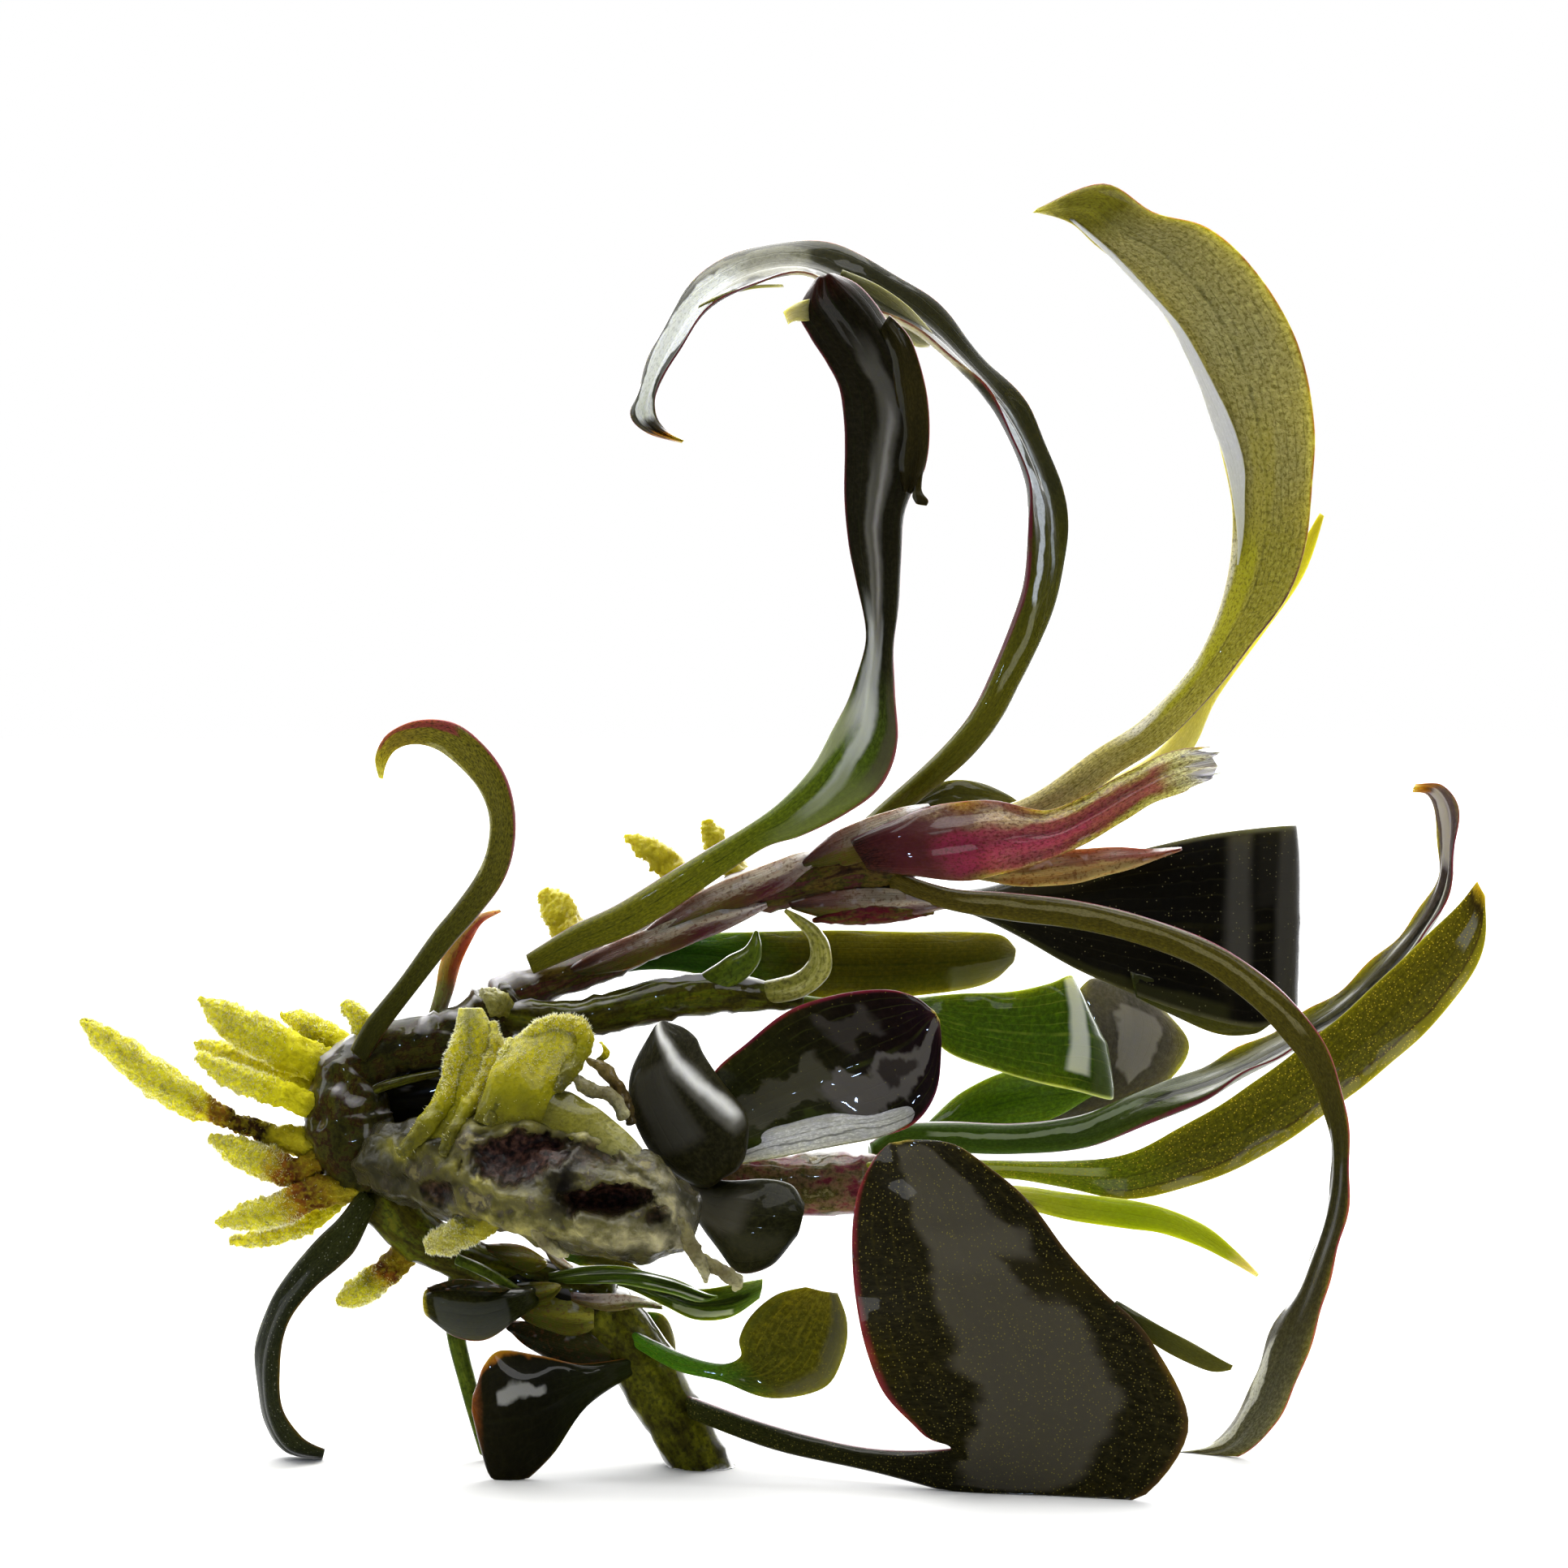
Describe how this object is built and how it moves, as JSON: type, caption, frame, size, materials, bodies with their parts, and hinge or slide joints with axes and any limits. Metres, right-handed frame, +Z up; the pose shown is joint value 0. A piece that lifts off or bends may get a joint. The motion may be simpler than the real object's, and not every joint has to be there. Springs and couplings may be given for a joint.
{
  "type": "bucephalandra aquarium plant",
  "caption": "Creeping aquarium plant lying as cut: branching rhizome with long arching leaves, papery sheaths, a bud and stubby fuzzy roots.",
  "frame": {"origin": "middle of the footprint box, on the surface that the plant rests on", "axes": "+X along the creeping rhizome, from the long root tip towards the leaf tips; +Y away from the viewer of the picture; +Z up"},
  "size_m": [0.0871, 0.0274, 0.079],
  "materials": {
    "leaf_dark": "wet, near black olive leaf, glossy under a water film",
    "leaf_olive": "wet olive leaf, light comes through it",
    "leaf_green": "wet fresh green leaf",
    "leaf_lime": "wet yellow-green young leaf",
    "sheath_pink": "thin wet leaf sheath, pink on straw",
    "sheath_tan": "thin wet leaf sheath, straw with wine edges",
    "rhizome_wine": "wet wine-brown rhizome with old sheath scars",
    "stem_olive": "wet olive stem",
    "cut_pale": "old cut end, pale ragged pith",
    "root_yellow": "fuzzy yellow root"
  },
  "bodies": {
    "root": {"bud_spindle": "rhizome_wine", "leaf_arch": "leaf_dark", "leaf_behind_stem": "leaf_olive", "leaf_black": "leaf_dark", "leaf_bowl": "leaf_dark", "leaf_broad_front": "leaf_dark", "leaf_dark_back": "leaf_dark", "leaf_folded": "leaf_dark", "leaf_glossy_small": "leaf_dark", "leaf_green": "leaf_green", "leaf_green_back": "leaf_green", "leaf_grey_back": "leaf_dark", "leaf_hook": "leaf_olive", "leaf_lobe": "leaf_dark", "leaf_long_arch": "leaf_olive", "leaf_low_dark": "leaf_dark", "leaf_low_green": "leaf_green", "leaf_low_olive": "leaf_olive", "leaf_low_small": "leaf_olive", "leaf_ribbon": "leaf_dark", "leaf_round": "leaf_dark", "leaf_silver": "leaf_dark", "leaf_speckled": "leaf_olive", "leaf_spoon": "leaf_olive", "leaf_tall": "leaf_olive", "leaf_tall_young": "leaf_lime", "leaf_yellow_narrow": "leaf_lime", "rhizome_back": "rhizome_wine", "rhizome_cut": "cut_pale", "rhizome_lower": "stem_olive", "rhizome_main": "rhizome_wine", "rhizome_middle": "stem_olive", "rhizome_upper": "rhizome_wine", "root_bud_fork": "root_yellow", "root_front_low": "root_yellow", "root_front_square": "root_yellow", "root_front_tall": "root_yellow", "root_left_low": "root_yellow", "root_left_middle": "root_yellow", "root_left_top": "root_yellow", "root_left_upper": "root_yellow", "root_long_left": "root_yellow", "root_lower_left": "root_yellow", "root_lower_thin": "root_yellow", "root_stub_stem": "root_yellow", "root_top_pointed": "root_yellow", "root_top_ragged": "root_yellow", "root_top_tiny": "root_yellow", "root_under": "root_yellow", "root_upper_short": "root_yellow", "sheath_left": "sheath_tan", "sheath_pink": "sheath_pink", "sheath_tan": "sheath_tan", "stalk_low": "leaf_green", "stalk_thin": "leaf_green", "stem_low": "stem_olive", "young_leaf_hooked": "leaf_olive", "young_leaf_rolled": "leaf_green"}
  },
  "joints": []
}
